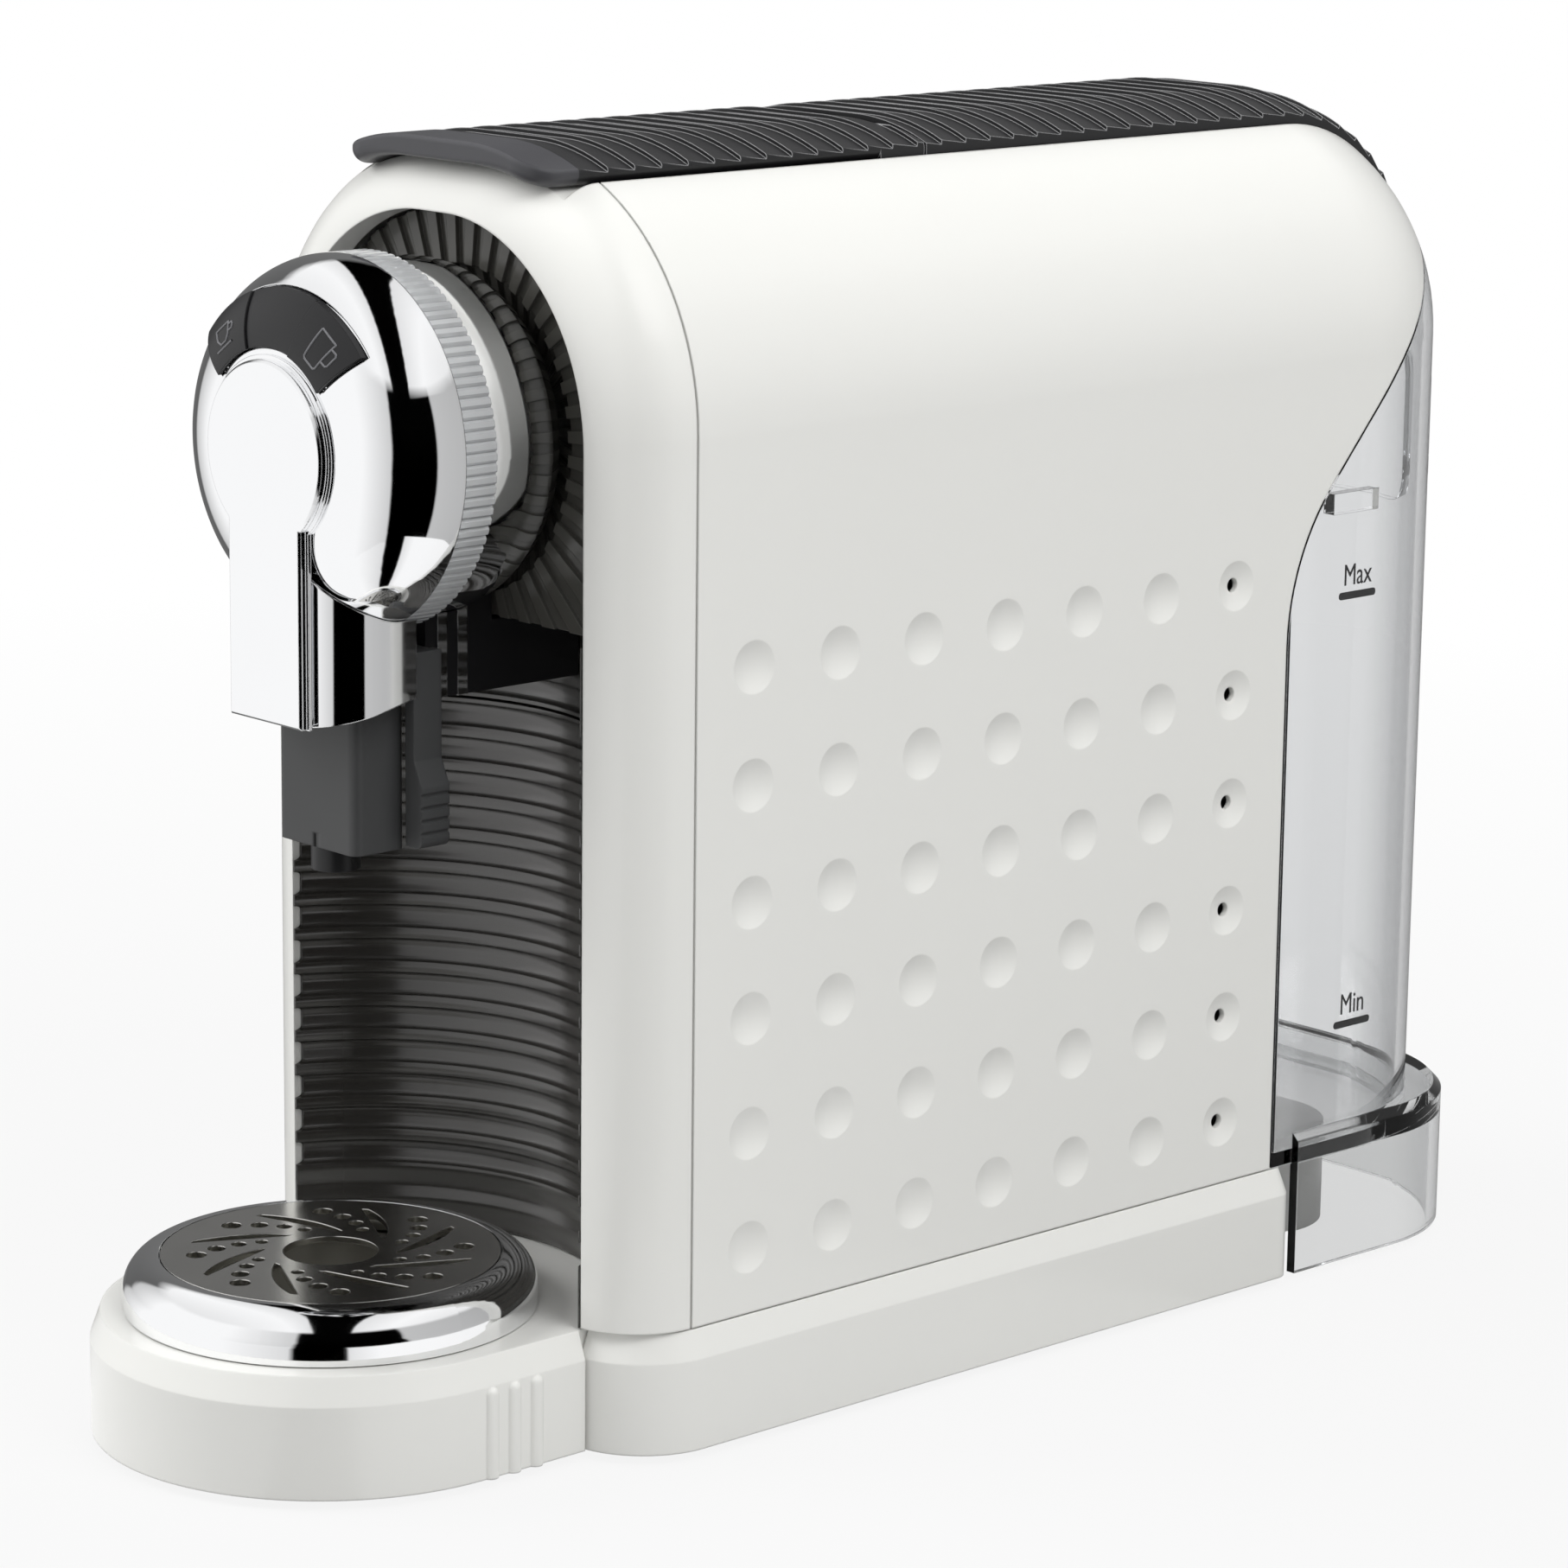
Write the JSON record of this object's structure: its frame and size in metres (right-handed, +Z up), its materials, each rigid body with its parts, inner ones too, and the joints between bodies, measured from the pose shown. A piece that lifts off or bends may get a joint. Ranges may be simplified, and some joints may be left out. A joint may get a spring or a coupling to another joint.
{
  "type": "pod coffee machine",
  "caption": "Slim pod coffee machine with ribbed lever, chrome brew head over a round drip tray, dimpled side panels and a clear rear water tank.",
  "frame": {"origin": "on the surface it stands on, under the middle of its outline", "axes": "+Z up, the drip tray and brew head face -Y, the tank is at +Y"},
  "size_m": [0.122, 0.3314, 0.252],
  "materials": {
    "white_shell": "satin white injection-moulded plastic",
    "charcoal": "charcoal plastic, fine ribs",
    "chrome": "bright chrome plating",
    "steel": "dark polished steel",
    "clear": "clear moulded plastic",
    "smoked": "smoked glossy plastic",
    "dark_grey": "dark grey moulded plastic",
    "black": "black plastic",
    "grey": "warm grey plastic",
    "rubber": "soft black rubber",
    "metal": "cast and turned metal",
    "board": "green circuit board"
  },
  "bodies": {
    "body": {"base_housing": "white_shell", "side_panel_right": "white_shell", "side_panel_left": "white_shell", "front_bezel": "white_shell", "tank_bay_wall": "white_shell", "rear_cover": "charcoal", "top_deck": "black", "head_dome": "chrome", "keyhole_plate": "chrome", "head_rear": "chrome", "spout_shroud": "chrome", "column_trims": "chrome", "light_ring": "clear", "pleated_collar": "smoked", "upper_liner": "smoked", "button_panel": "black", "spout_column": "black", "chassis": "grey", "base_plate": "dark_grey", "rubber_feet": "rubber", "pump_mounts": "rubber", "inlet_seal": "rubber", "hoses": "rubber", "cord_gland": "rubber", "inlet_socket": "black", "base_screws": "metal", "guide_rods": "metal", "lever_pin": "metal", "pump": "metal", "thermoblock": "metal", "injector": "metal", "control_board": "board"},
    "lever": {"lever": "charcoal"},
    "carriage": {"brew_carriage": "dark_grey", "carriage_arms": "dark_grey"},
    "key_espresso": {"button_espresso": "black"},
    "key_lungo": {"button_lungo": "black"},
    "tray": {"drip_tray": "white_shell", "drip_pan": "grey", "drip_ring": "chrome"},
    "grille": {"drip_grille": "steel"},
    "bin": {"capsule_bin": "smoked"},
    "tank": {"water_tank": "clear", "tank_skirt": "clear"},
    "spout": {"spout_block": "dark_grey", "nozzle": "black"},
    "clip_left": {"clip_left": "dark_grey"},
    "clip_right": {"clip_right": "dark_grey"}
  },
  "joints": [
    {"name": "lever_hinge", "type": "hinge", "parent": "body", "child": "lever", "pos_m": [0, 0.003, 0.246], "axis": [-1, 0, 0], "range_deg": [0, 75]},
    {"name": "carriage_slide", "type": "slide", "parent": "body", "child": "carriage", "axis": [0, -1, 0], "range_m": [0, 0.0236]},
    {"name": "espresso_press", "type": "slide", "parent": "body", "child": "key_espresso", "axis": [0, 1, 0], "range_m": [0, 0.0008], "stiffness_N_per_m": 400},
    {"name": "lungo_press", "type": "slide", "parent": "body", "child": "key_lungo", "axis": [0, 1, 0], "range_m": [0, 0.0008], "stiffness_N_per_m": 400},
    {"name": "tray_slide", "type": "slide", "parent": "body", "child": "tray", "axis": [0, -1, 0], "range_m": [0, 0.105]},
    {"name": "grille_lift", "type": "slide", "parent": "tray", "child": "grille", "axis": [0, 0, 1], "range_m": [0, 0.04]},
    {"name": "bin_slide", "type": "slide", "parent": "body", "child": "bin", "axis": [0, -1, 0], "range_m": [0, 0.013]},
    {"name": "tank_slide", "type": "slide", "parent": "body", "child": "tank", "axis": [0, 1, 0], "range_m": [0, 0.095]},
    {"name": "spout_slide", "type": "slide", "parent": "body", "child": "spout", "axis": [0, 0, -1], "range_m": [0, 0.03]},
    {"name": "clip_left_squeeze", "type": "hinge", "parent": "spout", "child": "clip_left", "pos_m": [-0.0153, -0.1074, 0.152], "axis": [0, -1, 0], "range_deg": [0, 2.2], "stiffness_Nm_per_rad": 0.05},
    {"name": "clip_right_squeeze", "type": "hinge", "parent": "spout", "child": "clip_right", "pos_m": [0.0153, -0.1074, 0.152], "axis": [0, 1, 0], "range_deg": [0, 2.2], "stiffness_Nm_per_rad": 0.05}
  ],
  "couplings": [
    {"joint": "carriage_slide", "follows": "lever_hinge", "m_per_rad": 0.017724}
  ]
}
